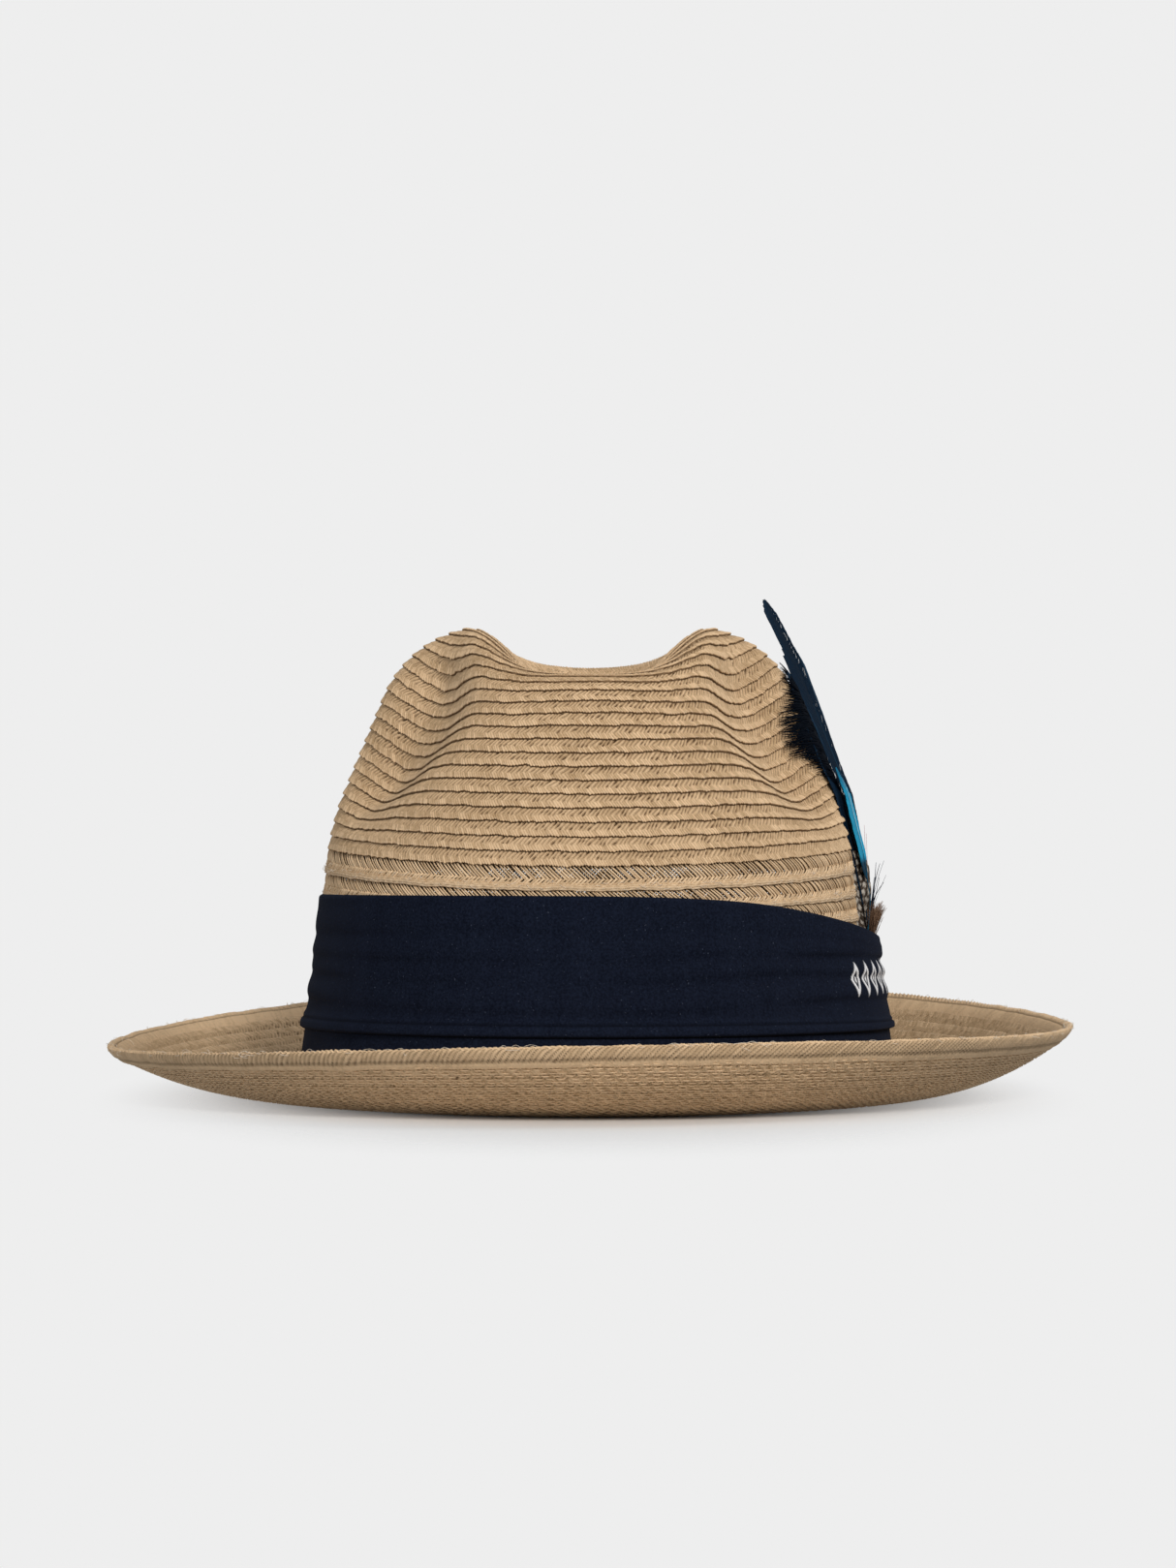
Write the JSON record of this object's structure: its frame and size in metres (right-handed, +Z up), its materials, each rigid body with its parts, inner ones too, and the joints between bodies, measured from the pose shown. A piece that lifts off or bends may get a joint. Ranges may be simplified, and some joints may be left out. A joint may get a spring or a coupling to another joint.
{
  "type": "straw fedora hat",
  "caption": "Straw fedora of sewn braid with a pinched, creased crown, a pleated cloth band and a lift-out feather ornament.",
  "frame": {"origin": "middle of the hat on the surface that it stands on, at the lowest ring of the brim", "axes": "+Z up, -Y the front of the hat, +X the wearer's left, where the feathers are"},
  "size_m": [0.2922, 0.3272, 0.1495],
  "materials": {
    "straw": "matte, plaited and sewn in rows",
    "straw_open": "matte, open plait",
    "sweatband": "matte ribbed ribbon",
    "reed": "matte",
    "band_cloth": "soft twill with a faint sheen",
    "pin_steel": "brushed",
    "binding_thread": "waxed thread",
    "feather_navy": "feather, slight sheen",
    "feather_turquoise": "feather, bright with a sheen",
    "feather_dark": "feather, pale spots",
    "feather_brown": "downy",
    "feather_pink": "single barb"
  },
  "bodies": {
    "hat": {"crown_tip_coil": "straw", "crown_braid": "straw", "crown_base_braid": "straw", "brim_braid": "straw", "brim_edge_braid": "straw", "vent_braid_1": "straw_open", "vent_braid_2": "straw_open", "vent_braid_3": "straw_open", "sweatband": "sweatband", "sweatband_reed": "reed", "band_under": "band_cloth", "band_main": "band_cloth", "band_folded_ends": "band_cloth", "band_keeper": "band_cloth"},
    "feather_ornament": {"feather_pin": "pin_steel", "feather_binding": "binding_thread", "feather_navy_long": "feather_navy", "feather_navy_short": "feather_navy", "feather_turquoise": "feather_turquoise", "feather_black_dotted": "feather_dark", "feather_spotted": "feather_dark", "feather_brown_tuft": "feather_brown", "feather_dark_wisps": "feather_dark", "feather_pink_strand": "feather_pink"}
  },
  "joints": [
    {"name": "ornament_lift", "type": "slide", "parent": "hat", "child": "feather_ornament", "axis": [-0.1288, 0, 0.9917], "range_m": [0, 0.04]}
  ]
}
